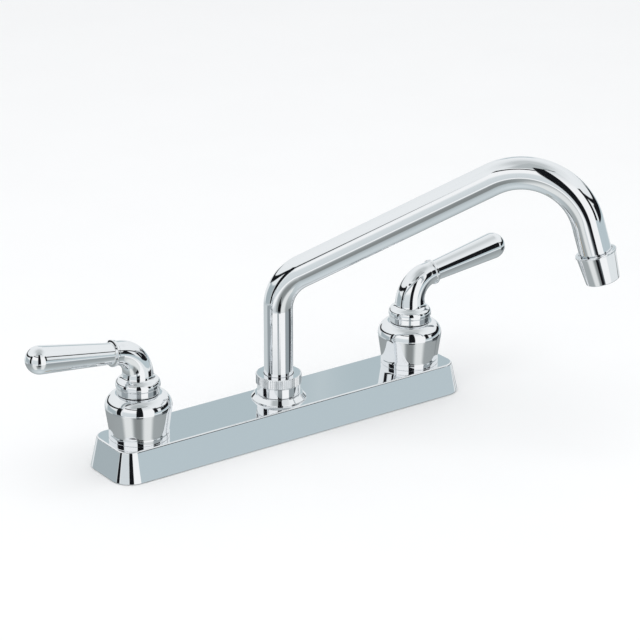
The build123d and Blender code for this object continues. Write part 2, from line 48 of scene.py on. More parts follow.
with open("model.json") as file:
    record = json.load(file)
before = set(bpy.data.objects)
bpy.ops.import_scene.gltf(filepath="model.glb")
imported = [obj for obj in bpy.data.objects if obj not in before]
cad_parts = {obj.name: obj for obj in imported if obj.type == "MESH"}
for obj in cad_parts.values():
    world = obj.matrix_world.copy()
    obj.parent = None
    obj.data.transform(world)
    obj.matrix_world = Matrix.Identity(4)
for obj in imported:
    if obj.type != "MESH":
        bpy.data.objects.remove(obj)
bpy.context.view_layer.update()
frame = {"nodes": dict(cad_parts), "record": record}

MM = 0.001
UP = np.array([0, 0, 1.0])
SIDES = ("left", "right")
OUTWARD = {"left": math.pi, "right": 0.0}  # the way each lever points


def axis_of(node):
    """X of the upright axis that a turned node is centred on, in millimetres."""
    low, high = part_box(node)
    return (low[0] + high[0]) / 2 / MM


HUB_X = {side: axis_of(f"hub_{side}") for side in SIDES}


# ---- sizes and colours that a user would change --------------------------------------------------


def linear(hex_colour):
    """Linear RGB of an sRGB hex colour."""
    srgb = np.array([int(hex_colour[i : i + 2], 16) for i in (1, 3, 5)]) / 255
    low, high = srgb / 12.92, ((srgb + 0.055) / 1.055) ** 2.4
    return tuple(float(c) for c in np.where(srgb <= 0.04045, low, high))


def size(label, text, millimetres):
    """A length property."""
    return bpy.props.FloatProperty(
        name=label, description=text, default=millimetres, min=0.0, subtype="DISTANCE"
    )


def colour(label, text, hex_colour):
    """A colour property."""
    return bpy.props.FloatVectorProperty(
        name=label, description=text, default=linear(hex_colour), size=3, subtype="COLOR"
    )


def turn(label, text, degrees):
    """An angle property."""
    return bpy.props.FloatProperty(
        name=label, description=text, default=math.radians(degrees), subtype="ANGLE"
    )


class FaucetPlateSizes(bpy.types.PropertyGroup):
    """Deck plate, in millimetres"""

    inset: size("Lean", "How far the sides lean in from the deck to the top", 4.2)
    corner: size("Corner radius", "Radius of the four corners at the deck", 13.2)
    edge: size("Top edge radius", "Radius of the round along the top edge", 1.1)
    wall: size("Wall", "Thickness of the shell", 2.2)
    valve_hole: size("Valve holes", "Radius of the holes for the valve bodies", 13.3)
    spout_hole: size("Spout hole", "Radius of the hole for the spout's post", 12.7)


class FaucetHubSizes(bpy.types.PropertyGroup):
    """Bell-shaped hubs, in millimetres"""

    foot_radius: size("Foot radius", "Radius of the foot on the plate", 18.35)
    foot_height: size("Foot height", "Height of the foot's upright edge", 3.0)
    waist_radius: size("Waist radius", "Smallest radius above the foot", 18.1)
    waist_height: size("Waist height", "Height of the waist above the deck", 22.6)
    belly_radius: size("Belly radius", "Largest radius, under the shoulder", 20.2)
    belly_height: size("Belly height", "Height of the belly above the deck", 37.5)
    crown_radius: size("Crown radius", "Radius where the shoulder ends", 13.7)
    mouth_radius: size("Mouth radius", "Radius of the opening for the lever's boss", 9.0)
    wall: size("Roof", "Thickness of the roof", 2.2)
    inner_radius: size("Inner radius", "Radius of the hollow under the shoulder", 16.8)
    floor: size("Floor", "Thickness of the floor round the valve body", 6.3)
    collar_radius: size("Inner collar", "Radius of the bore round the valve body", 13.1)


class FaucetLeverSizes(bpy.types.PropertyGroup):
    """Lever handles, in millimetres"""

    clearance: size("Clearance", "Gap between the hub and the foot", 0.3)
    foot_radius: size("Foot radius", "Radius of the foot on the hub", 13.0)
    foot_height: size("Foot height", "Height of the foot below its lip", 3.8)
    lip_radius: size("Lip radius", "Radius of the round lip over the foot", 13.5)
    lip_height: size("Lip height", "Height of the lip", 2.0)
    boss_radius: size("Boss radius", "Radius of the boss inside the hub", 7.6)
    boss_depth: size("Boss depth", "How far the boss reaches below the foot", 7.7)
    socket_radius: size("Socket radius", "Radius of the socket for the stem", 4.1)
    socket_depth: size("Socket depth", "How far the socket reaches above the foot's underside", 11.6)
    neck_height: size("Neck height", "From the foot's underside to the start of the elbow", 12.3)
    neck_radius: size("Neck radius", "Radius at the start of the elbow", 9.4)
    elbow_bend: size("Elbow bend", "Radius of the elbow's centre line", 16.0)
    elbow_end: size("Elbow end radius", "Radius at the end of the elbow", 7.4)
    bead_place: size("Bead place", "From the elbow's end to the bead's middle", 3.5)
    bead_radius: size("Bead radius", "Radius of the bead", 8.1)
    bead_width: size("Bead width", "Width of the bead", 2.0)
    grip_start: size("Grip start radius", "Radius of the grip beside the bead", 6.3)
    grip_end: size("Grip end radius", "Radius of the grip's domed end", 8.5)
    grip_length: size("Grip length", "From the bead to the middle of the dome", 49.5)
    climb: turn("Climb", "Angle at which the grip climbs outward", 8.7)


class FaucetSpoutSizes(bpy.types.PropertyGroup):
    """Spout and what turns with it, in millimetres"""

    swing: turn("Swing", "Where the spout points, from the right handle", -45.0)
    seat: size("Seat", "Height of the tube's lower end", 24.0)
    riser_top: size("Riser top", "Height where the first bend starts", 78.0)
    riser_radius: size("Riser radius", "Outer radius of the riser", 9.0)
    run_radius: size("Run radius", "Outer radius of the run and the arch", 9.9)
    wall: size("Wall", "Thickness of the tube", 1.1)
    first_bend: size("First bend", "Radius of the first bend's centre line", 28.4)
    run: size("Run", "Length of the straight run", 132.1)
    arch: size("Arch", "Radius of the arch's centre line", 39.7)
    outlet: size("Outlet", "Straight length from the arch to the aerator's rim", 18.8)
    sleeve: size("Sleeve", "How far the tube reaches into the aerator", 6.0)
    rise: turn("Rise", "Angle at which the run climbs", 29.6)
    drop: turn("Drop", "Angle at which the outlet points down", 74.0)
    rim_radius: size("Aerator rim", "Radius of the aerator's rim", 12.6)
    top_radius: size("Aerator top", "Radius of the aerator below its rim", 12.0)
    end_radius: size("Aerator end", "Radius of the aerator's mouth end", 10.3)
    aerator: size("Aerator length", "Length of the aerator", 18.8)
    mouth_radius: size("Aerator mouth", "Radius of the aerator's opening", 8.3)
    mouth_edge: size("Aerator mouth edge", "Thickness of the ledge that holds the grid", 1.6)
    chamber_radius: size("Aerator chamber", "Radius of the hollow that holds the grid", 9.3)
    thread_radius: size("Aerator thread", "Radius of the bore for the outlet's sleeve", 9.7)


class FaucetNutSizes(bpy.types.PropertyGroup):
    """Spout nut and collar, in millimetres"""

    bore_radius: size("Bore", "Radius of the wide bore", 12.5)
    bore_top: size("Bore top", "Height above the deck where the wide bore ends", 34.0)
    mouth_radius: size("Mouth", "Radius of the hole that the spout passes through", 9.3)
    skirt_radius: size("Skirt", "Radius of the smooth skirt", 13.4)
    skirt_height: size("Skirt height", "Height of the smooth skirt", 6.3)
    band_radius: size("Band", "Radius of the knurled band", 14.2)
    knurl_depth: size("Knurl depth", "Depth of the grooves in the band", 0.45)
    collar_bore: size("Collar bore", "Radius of the hole in the collar", 12.7)
    collar_foot: size("Collar foot", "Radius of the collar on the plate", 17.1)
    collar_top: size("Collar top", "Radius of the collar at its top", 14.9)


class FaucetColours(bpy.types.PropertyGroup):
    """Colours of the finishes"""

    chrome: colour("Chrome", "Polished chrome plate", "#F1F3F5")
    brass: colour("Brass", "Machined brass", "#C9A961")
    copper: colour("Copper", "Drawn copper tube", "#C8805A")
    steel: colour("Steel", "Zinc-plated and stainless steel", "#A9ACAF")
    rubber: colour("Rubber", "Moulded black rubber", "#1B1B1C")
    ceramic: colour("Ceramic", "Lapped white alumina", "#F0EDE6")
    plastic: colour("Plastic", "Moulded white acetal", "#E4E3DD")
    floor: colour("Floor", "Studio floor", "#FAFAFA")


def sizes(part):
    """The sizes of one part of the faucet."""
    return getattr(bpy.context.scene, f"faucet_{part}")


# ---- surfaces -----------------------------------------------------------------------------------


def rounded(corners, radii, steps=6):
    """An open outline with round corners. A corner's arc touches both of its sides, so it starts and
    ends its radius over the tangent of half the corner's angle away, and its points are the circle's
    start and end arms mixed by the sines of the angles left and done."""
    corners = np.array(corners, float)
    here, before, after = corners[1:-1], corners[:-2], corners[2:]
    back = before - here
    ahead = after - here
    back /= np.linalg.norm(back, axis=1, keepdims=True)
    ahead /= np.linalg.norm(ahead, axis=1, keepdims=True)
    half = np.arccos(np.clip((back * ahead).sum(1), -1, 1)) / 2
    radii = np.broadcast_to(np.array(radii, float), half.shape)
    middle = back + ahead
    middle /= np.linalg.norm(middle, axis=1, keepdims=True)
    centre = here + middle * (radii / np.sin(half))[:, None]
    reach = (radii / np.tan(half))[:, None]
    first, last = here + back * reach - centre, here + ahead * reach - centre
    sweep = (math.pi - 2 * half)[:, None]
    share = np.linspace(0, 1, steps + 1)[None, :]
    weight_first = np.sin((1 - share) * sweep) / np.sin(sweep)
    weight_last = np.sin(share * sweep) / np.sin(sweep)
    from_first = weight_first[..., None] * first[:, None]
    from_last = weight_last[..., None] * last[:, None]
    arcs = (centre[:, None] + from_first + from_last).reshape(-1, 2)
    return np.concatenate([corners[:1], arcs, corners[-1:]])


def closed_outline(corners, steps=6):
    """A closed outline with round corners, from (radius, height, rounding) corners. Its first corner
    stays sharp and its last point isn't repeated."""
    corners = np.array([*corners, corners[0]], float)
    return rounded(corners[:, :2], corners[1:-1, 2], steps)[:-1]


def touching_arc(start, end, heading, steps=24):
    """An arc from start to end that leaves start along heading. Its centre lies square to the heading,
    and its radius is the squared chord over twice the chord's part on that side."""
    start, end, heading = (np.array(v, float) for v in (start, end, heading))
    heading /= np.linalg.norm(heading)
    side = np.array([-heading[1], heading[0]])
    chord = end - start
    radius = (chord @ chord) / (2 * (chord @ side))
    sweep = 2 * math.atan2(chord @ side, chord @ heading)
    angle = np.linspace(0, sweep, steps + 1)[:, None]
    return start + radius * (np.sin(angle) * heading + (1 - np.cos(angle)) * side)


def filled(outline, step):
    """The same outline with points added so that none is further than about step from the next."""
    outline = outline[np.append(True, np.linalg.norm(np.diff(outline, axis=0), axis=1) > 1e-6)]
    along = np.append(0, np.cumsum(np.linalg.norm(np.diff(outline, axis=0), axis=1)))
    extra = np.linspace(0, along[-1], int(along[-1] / step) + 1)
    extra = extra[np.abs(extra[:, None] - along).min(1) > step / 3]
    stations = np.sort(np.append(along, extra))
    return np.stack([np.interp(stations, along, outline[:, k]) for k in (0, 1)], axis=1)


class Route:
    """A flat bent line: it starts at a height above (x, 0), upright, and leans over towards a
    direction on the floor at each bend."""

    def __init__(self, x, height=0.0, direction=0.0, bends=()):
        self.start = np.array([x, 0, height])
        self.out = np.array([math.cos(direction), math.sin(direction), 0])
        self.side = np.array([-math.sin(direction), math.cos(direction), 0])
        self.bends = bends

    def lean(self, s):
        """Angle from the upright: each bend adds its length so far over its radius, up to its own."""
        done = np.zeros_like(s)
        for begin, radius, angle in self.bends:
            done += np.clip((s - begin) / radius, 0, angle)
        return done

    def line(self, s):
        """Points at the distances s. They are read from the running sum of short steps, each along the
        lean at its middle."""
        stations = np.linspace(min(0.0, s.min()), max(s.max(), 1.0), 4001)
        step = stations[1] - stations[0]
        middle = self.lean(stations[:-1] + step / 2)[:, None]
        steps = step * (np.sin(middle) * self.out + np.cos(middle) * UP)
        points = np.concatenate([[(0, 0, 0)], np.cumsum(steps, axis=0)]) + (0, 0, stations[0])
        return self.start + np.stack([np.interp(s, stations, points[:, k]) for k in range(3)], axis=1)

    def carry(self, outline, columns, closed=False):
        """A skin from an outline of (radius, distance along the route) points: at each distance the
        radius turns once round, square to the line."""
        radius, s = outline.T
        line, lean = self.line(s), self.lean(s)
        across = np.cos(lean)[:, None] * self.out - np.sin(lean)[:, None] * UP
        angle = np.linspace(0, 2 * math.pi, columns, endpoint=False)[None, :, None]
        ring = np.cos(angle) * across[:, None] + np.sin(angle) * self.side
        return skin(line[:, None] + radius[:, None, None] * ring, closed)


def skin(points, closed=False):
    """Vertices, normals, quads and triangles of a grid of points, whose columns go once round. A normal
    is the cross product of the steps between neighbours along both ways of the grid. A first or last
    row that is one point becomes a pole with triangles round it."""
    rows, columns = points.shape[:2]
    index = np.arange(rows * columns).reshape(rows, columns)
    round_step = np.roll(points, -1, 1) - np.roll(points, 1, 1)
    if closed:
        along_step = np.roll(points, -1, 0) - np.roll(points, 1, 0)
    else:
        row = np.arange(rows)
        along_step = points[np.minimum(row + 1, rows - 1)] - points[np.maximum(row - 1, 0)]
    normals = np.cross(round_step, along_step)
    for end, inner in ((0, 1), (-1, -2)):
        if np.ptp(points[end], axis=0).max() < 1e-6:
            index[end] = index[end, 0]
            normals[end] = normals[inner].sum(0)
    normals /= np.maximum(np.linalg.norm(normals, axis=2, keepdims=True), 1e-12)
    lower, upper = (index, np.roll(index, -1, 0)) if closed else (index[:-1], index[1:])
    corners = np.stack([lower, np.roll(lower, -1, 1), np.roll(upper, -1, 1), upper], -1).reshape(-1, 4)
    low_pole = corners[:, 0] == corners[:, 1]
    high_pole = corners[:, 2] == corners[:, 3]
    triangles = np.concatenate([corners[low_pole][:, [0, 2, 3]], corners[high_pole][:, [0, 1, 2]]])
    return points.reshape(-1, 3), normals.reshape(-1, 3), corners[~(low_pole | high_pole)], triangles


def flat_face(height, loops, facing):
    """A level face inside the first loop with the other loops as holes, facing up (1) or down (-1)."""
    points = np.concatenate(loops)
    points = np.column_stack([points, np.full(len(points), height)])
    rings = np.split(points, np.cumsum([len(loop) for loop in loops])[:-1])
    triangles = np.array(tessellate_polygon([[Vector(p) for p in ring] for ring in rings]))
    a, b, c = (points[triangles[:, k], :2] for k in range(3))
    area = np.cross(b - a, c - a)
    wrong = np.sign(area) != facing
    triangles[wrong] = triangles[wrong][:, ::-1]
    triangles = triangles[np.abs(area) > 1e-9]
    normals = np.tile([0.0, 0.0, facing], (len(points), 1))
    return points, normals, np.empty((0, 4), int), triangles


def piece(name, skins, body, finish, replaced):
    """One welded mesh from its skins, in millimetres, with their own normals at the corners of its
    faces. It rides on a body and stands for the replaced CAD nodes."""
    offsets = np.cumsum([0] + [len(s[0]) for s in skins])
    points = np.concatenate([s[0] for s in skins])
    normals = np.concatenate([s[1] for s in skins])
    quads = np.concatenate([s[2] + o for s, o in zip(skins, offsets)])
    triangles = np.concatenate([s[3] + o for s, o in zip(skins, offsets)])
    corner_normals = normals[np.concatenate([quads.ravel(), triangles.ravel()])]
    _, first, welded = np.unique(np.round(points, 4), axis=0, return_index=True, return_inverse=True)
    welded = welded.reshape(-1)
    used, renumbered = np.unique(
        np.concatenate([welded[quads].ravel(), welded[triangles].ravel()]), return_inverse=True
    )
    quads = renumbered[: quads.size].reshape(-1, 4)
    triangles = renumbered[quads.size :].reshape(-1, 3)
    mesh = bpy.data.meshes.new(name)
    mesh.from_pydata(points[first][used] * MM, [], quads.tolist() + triangles.tolist())
    mesh.polygons.foreach_set("use_smooth", np.ones(len(mesh.polygons), bool))
    mesh.normals_split_custom_set(corner_normals)
    mesh.materials.append(finish)
    obj = bpy.data.objects.new(name, mesh)
    bpy.context.scene.collection.objects.link(obj)
    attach(obj, body)
    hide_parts(*replaced)
    return obj


# ---- finishes -----------------------------------------------------------------------------------


def add(tree, kind, inputs=None, **settings):
    """Adds a node, sets its fields, and gives its sockets a value or a link."""
    node = tree.nodes.new(kind)
    for field, value in settings.items():
        setattr(node, field, value)
    for socket, value in (inputs or {}).items():
        if isinstance(value, bpy.types.NodeSocket):
            tree.links.new(value, node.inputs[socket])
        else:
            node.inputs[socket].default_value = value
    return node


def new_finish(name):
    """An empty material, its node tree and its object coordinates."""
    made = bpy.data.materials.new(name)
    made.use_nodes = True
    made.node_tree.nodes.clear()
    place = add(made.node_tree, "ShaderNodeTexCoord").outputs["Object"]
    return made, made.node_tree, place


def grain(tree, place, millimetres, detail=2.0):
    """Noise whose patches are that wide."""
    inputs = {"Vector": place, "Scale": 1 / (millimetres * MM), "Detail": detail}
    return add(tree, "ShaderNodeTexNoise", inputs).outputs["Fac"]


def spread(tree, value, low, high):
    """The middle of a noise value's range, stretched over low to high."""
    inputs = {"Value": value, "From Min": 0.3, "From Max": 0.7, "To Min": low, "To Max": high}
    return add(tree, "ShaderNodeMapRange", inputs).outputs["Result"]


def relief(tree, height, micrometres):
    """A bump whose full height is that many micrometres."""
    inputs = {"Height": height, "Strength": 1.0, "Distance": micrometres * 1e-6}
    return add(tree, "ShaderNodeBump", inputs).outputs["Normal"]


def tinted(tree, value, rgb, darker):
    """The colour, down to darker times itself where the value is low."""
    inputs = {"Factor": value, "A": (*(c * darker for c in rgb), 1.0), "B": (*rgb, 1.0)}
    return add(tree, "ShaderNodeMix", inputs, data_type="RGBA").outputs[2]


def surface(tree, **sockets):
    """The shader and the output."""
    shader = add(tree, "ShaderNodeBsdfPrincipled", {k.replace("_", " "): v for k, v in sockets.items()})
    add(tree, "ShaderNodeOutputMaterial", {"Surface": shader.outputs["BSDF"]})


def polished_chrome(name, rgb):
    """Decorative chrome plate over buffed metal: mirror-like, a little softer where the buffing wheel
    left a haze, with the faint waviness of the metal below."""
    made, tree, place = new_finish(name)
    haze = spread(tree, grain(tree, place, 9.0), 0.035, 0.055)
    waves = relief(tree, grain(tree, place, 7.0, 1.0), 4.0)
    surface(tree, Base_Color=(*rgb, 1.0), Metallic=1.0, Roughness=haze, Normal=waves)
    return made


def turned_metal(name, rgb, roughness, ring_scale):
    """Bar metal from the lathe: rings round the upright axis, a little over six times ring_scale
    millimetres apart, and a slow change of tone."""
    made, tree, place = new_finish(name)
    wave_rate = 20  # radians of the wave texture for each unit of its scaled coordinates
    scale = 1 / (ring_scale * MM) / wave_rate
    inputs = {"Vector": place, "Scale": scale, "Distortion": 0.6, "Detail": 2.0}
    rings = add(tree, "ShaderNodeTexWave", inputs, bands_direction="Z").outputs["Fac"]
    tone = spread(tree, grain(tree, place, 6.0, 3.0), 0.0, 1.0)
    surface(
        tree,
        Base_Color=tinted(tree, tone, rgb, 0.86),
        Metallic=1.0,
        Roughness=spread(tree, grain(tree, place, 1.5), roughness - 0.05, roughness + 0.08),
        Normal=relief(tree, rings, 3.0),
    )
    return made


def moulded(name, rgb, roughness, grain_size, depth, ior):
    """Moulded rubber, plastic or pressed ceramic: the mould's fine grain and a slight unevenness."""
    made, tree, place = new_finish(name)
    tone = spread(tree, grain(tree, place, 5.0, 3.0), 0.0, 1.0)
    surface(
        tree,
        Base_Color=tinted(tree, tone, rgb, 0.93),
        Roughness=spread(tree, grain(tree, place, 2.0), roughness - 0.05, roughness + 0.05),
        IOR=ior,
        Normal=relief(tree, grain(tree, place, grain_size, 4.0), depth),
    )
    return made


def finish(slot):
    """The material of a slot, made once."""
    rgb = sizes("colours")
    # the material's name, its maker and the maker's other values
    makers = {
        "chrome": ("polished_chrome_plate", polished_chrome, (rgb.chrome,)),
        "brass": ("machined_brass", turned_metal, (rgb.brass, 0.28, 0.4)),
        "copper": ("drawn_copper", turned_metal, (rgb.copper, 0.24, 2.0)),
        "steel": ("zinc_plated_steel", turned_metal, (rgb.steel, 0.33, 0.3)),
        "rubber": ("moulded_rubber", moulded, (rgb.rubber, 0.7, 0.4, 20.0, 1.52)),
        "ceramic": ("lapped_alumina", moulded, (rgb.ceramic, 0.2, 0.3, 2.0, 1.77)),
        "plastic": ("moulded_acetal", moulded, (rgb.plastic, 0.42, 0.5, 8.0, 1.48)),
    }
    name, make, values = makers[slot]
    return bpy.data.materials.get(name) or make(name, *values)


# ---- pieces -------------------------------------------------------------------------------------


class FaucetPiece:
    """What the piece operators share."""

    bl_options = {"REGISTER", "UNDO"}

    def execute(self, context):
        self.build()
        return {"FINISHED"}


class FAUCET_OT_deck_plate(FaucetPiece, bpy.types.Operator):
    """Die-cast deck plate with leaning sides, a round top edge and three holes"""

    bl_idname = "faucet.deck_plate"
    bl_label = "Deck plate"

    def build(self):
        plate = sizes("plate")
        low, high = (np.array(c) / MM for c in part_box("base_cover"))
        middle, half = (low + high)[:2] / 2, (high - low)[:2] / 2
        top, ceiling = high[2], high[2] - plate.wall
        lean = plate.inset / top

        per_corner = 17

        def loop(inset):
            """The plate's outline, moved in by inset: four arcs about the corners' centres."""
            angle = np.linspace(0, math.pi / 2, per_corner)
            angle = (angle + np.arange(4)[:, None] * math.pi / 2).ravel()
            quadrant = np.repeat(np.arange(4), per_corner)
            sign = np.stack([np.where((quadrant + 1) % 4 < 2, 1, -1), np.where(quadrant < 2, 1, -1)], 1)
            arm = np.stack([np.cos(angle), np.sin(angle)], 1) * (plate.corner - inset)
            return middle + sign * (half - plate.corner) + arm

        # (inset, height) points from the ceiling, down the inside and up the outside to the top
        section = rounded(
            [
                (plate.wall + lean * ceiling, ceiling),
                (plate.wall, 0),
                (0, 0),
                (plate.inset, top),
                (plate.inset + 2 * plate.edge, top),
            ],
            [0.3, 0.3, plate.edge],
            steps=8,
        )
        wall = np.array([loop(inset) for inset in section[:, 0]])
        height = np.broadcast_to(section[:, 1][:, None, None], (*wall.shape[:2], 1))
        angle = np.linspace(0, 2 * math.pi, 64, endpoint=False)
        circle = np.stack([np.cos(angle), np.sin(angle)], 1)
        places = {HUB_X["left"]: plate.valve_hole, 0: plate.spout_hole, HUB_X["right"]: plate.valve_hole}
        holes = [circle * radius + (x, 0) for x, radius in places.items()]
        skins = [
            skin(np.concatenate([wall, height], axis=2)),
            flat_face(top, [wall[-1], *holes], 1),
            flat_face(ceiling, [wall[0], *holes], -1),
        ]
        for hole in holes:
            rim = np.stack([np.column_stack([hole, np.full(len(hole), z)]) for z in (top, ceiling)])
            skins.append(skin(rim))
        piece("deck_plate", skins, "fixed_parts", finish("chrome"), ["base_cover"])


class FAUCET_OT_hubs(FaucetPiece, bpy.types.Operator):
    """Bell-shaped hubs that cover the valves"""

    bl_idname = "faucet.hubs"
    bl_label = "Hubs"

    def build(self):
        hub = sizes("hub")
        floor_slope = 0.7
        for side, x in HUB_X.items():
            low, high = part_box(f"hub_{side}")
            bottom, top = low[2] / MM, high[2] / MM
            seam = (hub.collar_radius, bottom + 2)  # where the outline starts and closes
            foot = rounded(
                [
                    seam,
                    (hub.collar_radius, bottom),
                    (hub.foot_radius, bottom),
                    (hub.foot_radius, bottom + hub.foot_height),
                    (hub.waist_radius, hub.waist_height),
                ],
                [0.2, 0.2, 0.5],
            )
            belly = (hub.belly_radius, hub.belly_height)
            flank = np.linspace((hub.waist_radius, hub.waist_height), belly, 12)
            shoulder = touching_arc(belly, (hub.crown_radius, top), flank[-1] - flank[0])
            # from the crown in to the mouth, and down the inside to the floor round the valve body
            mouth = rounded(
                [
                    shoulder[-1],
                    (hub.mouth_radius, top),
                    (hub.mouth_radius, top - hub.wall),
                    (hub.crown_radius - hub.wall, top - hub.wall),
                    (hub.inner_radius, hub.belly_height),
                    (hub.inner_radius, bottom + hub.floor + floor_slope),
                    (hub.collar_radius, bottom + hub.floor),
                    seam,
                ],
                0.3,
            )
            outline = np.concatenate([foot, flank[1:], shoulder[1:], mouth[1:-1]])
            skins = [Route(x).carry(outline, 128, closed=True)]
            piece(f"{side}_hub", skins, "fixed_parts", finish("chrome"), [f"hub_{side}"])


class FAUCET_OT_levers(FaucetPiece, bpy.types.Operator):
    """Lever handles: flared foot, neck, elbow, bead and club-shaped grip in one casting"""

    bl_idname = "faucet.levers"
    bl_label = "Lever handles"

    def build(self):
        lever = sizes("lever")
        bend = math.pi / 2 - lever.climb
        elbow_end = lever.neck_height + lever.elbow_bend * bend
        bead = elbow_end + lever.bead_place
        tip = bead + lever.grip_length
        lip_top = lever.foot_height + lever.lip_height
        # (radius, distance along the lever) points: socket, boss, foot and lip
        foot = rounded(
            [
                (0, lever.socket_depth),
                (lever.socket_radius, lever.socket_depth),
                (lever.socket_radius, -lever.boss_depth),
                (lever.boss_radius, -lever.boss_depth),
                (lever.boss_radius, 0),
                (lever.foot_radius, 0),
                (lever.foot_radius, lever.foot_height),
                (lever.lip_radius, lever.foot_height + 0.6),
                (lever.lip_radius, lip_top),
            ],
            [0.3, 0.3, 0.4, 0.3, 0.5, 0.3, 0.6],
        )
        # the flare's upper half is its lower half turned half round about its middle
        lip = np.array([lever.lip_radius, lip_top])
        middle = (lip + (lever.neck_radius, lever.neck_height)) / 2
        round_lip = touching_arc(lip, middle, UP[1:])
        neck = np.concatenate([round_lip, (2 * middle - round_lip[::-1])[1:]])
        elbow = np.linspace((lever.neck_radius, lever.neck_height), (lever.elbow_end, elbow_end), 33)[1:]
        # the bead's flat is a little narrower than the bead, between a steep side and a hollow one
        flat = lever.bead_width * 0.42
        beside = lever.bead_width * 0.62
        hollow = lever.bead_width * 0.75
        grip_start = lever.bead_width * 1.6
        collar = rounded(
            [
                elbow[-1],
                (lever.elbow_end, bead - beside),
                (lever.bead_radius, bead - flat),
                (lever.bead_radius, bead + flat),
                (lever.grip_start + 0.2, bead + hollow),
                (lever.grip_start + 0.1, bead + grip_start),
            ],
            [0.2, 0.5, 0.5, 0.6],
        )
        angle = np.linspace(math.pi / 2, 0, 25)
        dome = np.stack([np.sin(angle) * lever.grip_end, tip + np.cos(angle) * lever.grip_end], 1)
        outline = filled(np.concatenate([foot, neck[1:], elbow, collar[1:-1], dome]), 0.8)
        for side, x in HUB_X.items():
            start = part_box(f"hub_{side}")[1][2] / MM + lever.clearance
            route = Route(x, start, OUTWARD[side], ((lever.neck_height, lever.elbow_bend, bend),))
            skins = [route.carry(outline, 96)]
            nodes = [f"handle_lever_{side}"]
            piece(f"{side}_lever", skins, f"{side}_handle", finish("chrome"), nodes)


def spout_route():
    """The spout's centre line, and the distances along it of the run's ends and the aerator's rim."""
    spout = sizes("spout")
    first_start = spout.riser_top - spout.seat
    first_angle = math.pi / 2 - spout.rise
    first_end = first_start + spout.first_bend * first_angle
    arch_start = first_end + spout.run
    arch_angle = spout.rise + spout.drop
    rim = arch_start + spout.arch * arch_angle + spout.outlet
    bends = ((first_start, spout.first_bend, first_angle), (arch_start, spout.arch, arch_angle))
    return Route(0, spout.seat, spout.swing, bends), first_start, first_end, rim


class FAUCET_OT_spout(FaucetPiece, bpy.types.Operator):
    """Bent tube spout: riser, first bend, run, arch and outlet"""

    bl_idname = "faucet.spout"
    bl_label = "Spout"

    def build(self):
        spout = sizes("spout")
        route, first_start, first_end, rim = spout_route()
        radii = [spout.riser_radius, spout.riser_radius, spout.run_radius, spout.run_radius]
        places = [0, first_start, first_end, rim + spout.sleeve]
        outer = filled(np.column_stack([radii, places]), 1.2)
        inner = outer[::-1] - (spout.wall, 0)
        skins = [route.carry(np.concatenate([outer, inner]), 96, closed=True)]
        piece("bent_spout", skins, "spout", finish("chrome"), ["spout_tube"])


class FAUCET_OT_aerator(FaucetPiece, bpy.types.Operator):
    """Tapered aerator housing with a small rim"""

    bl_idname = "faucet.aerator"
    bl_label = "Aerator"

    def build(self):
        spout = sizes("spout")
        route, _, _, rim = spout_route()
        end = rim + spout.aerator
        bore = spout.run_radius + 0.7
        sleeve_seat = rim + spout.sleeve + 0.3
        thread_end = rim + spout.sleeve + 2.4
        outline = closed_outline(
            [
                (bore, sleeve_seat, 0),
                (bore, rim, 0.1),
                (spout.rim_radius, rim, 0.5),
                (spout.rim_radius, rim + 1.1, 0.3),
                (spout.top_radius, rim + 1.2, 0.05),
                (spout.end_radius, end - 0.4, 0.4),
                (spout.end_radius - 0.7, end, 0.3),
                (spout.mouth_radius, end, 0.3),
                (spout.mouth_radius, end - spout.mouth_edge, 0.1),
                (spout.chamber_radius, end - spout.mouth_edge, 0.1),
                (spout.chamber_radius, thread_end, 0.1),
                (spout.thread_radius, thread_end, 0.1),
                (spout.thread_radius, sleeve_seat, 0.1),
            ]
        )
        skins = [route.carry(outline, 128, closed=True)]
        piece("aerator_shell", skins, "spout", finish("chrome"), ["aerator_housing"])


